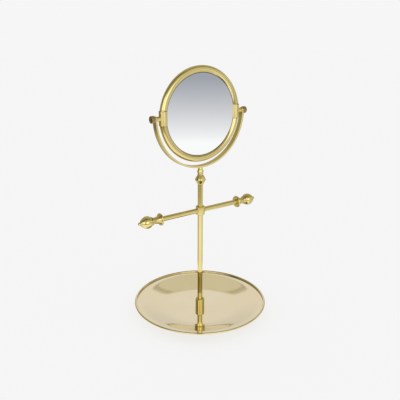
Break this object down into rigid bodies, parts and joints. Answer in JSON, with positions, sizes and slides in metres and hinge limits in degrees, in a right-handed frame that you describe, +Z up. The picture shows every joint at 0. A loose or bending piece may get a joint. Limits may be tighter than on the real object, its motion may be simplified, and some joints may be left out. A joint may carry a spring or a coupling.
{
  "type": "vanity mirror stand",
  "caption": "Free-standing brass vanity stand: dished round tray, post, jewellery crossbar with turned finials, and a round mirror that flips in a yoke.",
  "frame": {"origin": "centre of the foot pad, on the surface that the stand rests on", "axes": "+Z up along the post, X along the crossbar and the mirror's pivots, plain glass facing -Y"},
  "size_m": [0.3682, 0.355, 0.651],
  "materials": {
    "polished_brass": "polished and lacquered",
    "knurled_brass": "fluted, polished",
    "mirror_glass": "silvered float glass",
    "plated_steel": "zinc plated",
    "nylon": "moulded",
    "felt": "pressed felt"
  },
  "bodies": {
    "stand": {"foot_pad": "felt", "tray": "polished_brass", "base_washer": "plated_steel", "base_nut": "plated_steel", "base_collar": "polished_brass", "lower_post_tube": "polished_brass", "lower_tie_rod": "plated_steel", "cross_hub": "polished_brass", "left_crossbar_tube": "polished_brass", "right_crossbar_tube": "polished_brass", "left_crossbar_rod": "plated_steel", "right_crossbar_rod": "plated_steel", "left_finial": "polished_brass", "right_finial": "polished_brass", "upper_post_tube": "polished_brass", "upper_tie_rod": "plated_steel", "baluster": "polished_brass", "swivel_washer": "nylon", "swivel_screw": "polished_brass"},
    "yoke": {"yoke": "polished_brass"},
    "mirror": {"upper_frame_half": "polished_brass", "lower_frame_half": "polished_brass", "front_glass": "mirror_glass", "glass_spacer": "nylon", "rear_magnifying_glass": "mirror_glass", "left_sleeve": "polished_brass", "right_sleeve": "polished_brass", "left_pivot_stud": "polished_brass", "right_pivot_stud": "polished_brass", "left_pivot_spacer": "polished_brass", "right_pivot_spacer": "polished_brass"},
    "left_knob": {"left_knob": "knurled_brass"},
    "right_knob": {"right_knob": "knurled_brass"}
  },
  "joints": [
    {"name": "yoke_swivel", "type": "hinge", "parent": "stand", "child": "yoke", "pos_m": [0, 0, 0.4], "axis": [0, 0, 1], "continuous": true},
    {"name": "mirror_tilt", "type": "hinge", "parent": "yoke", "child": "mirror", "pos_m": [0, 0, 0.53303], "axis": [1, 0, 0], "continuous": true},
    {"name": "left_knob_turn", "type": "hinge", "parent": "mirror", "child": "left_knob", "pos_m": [-0.138, 0, 0.53303], "axis": [-1, 0, 0], "range_deg": [0, 360]},
    {"name": "right_knob_turn", "type": "hinge", "parent": "mirror", "child": "right_knob", "pos_m": [0.138, 0, 0.53303], "axis": [1, 0, 0], "range_deg": [0, 360]}
  ]
}
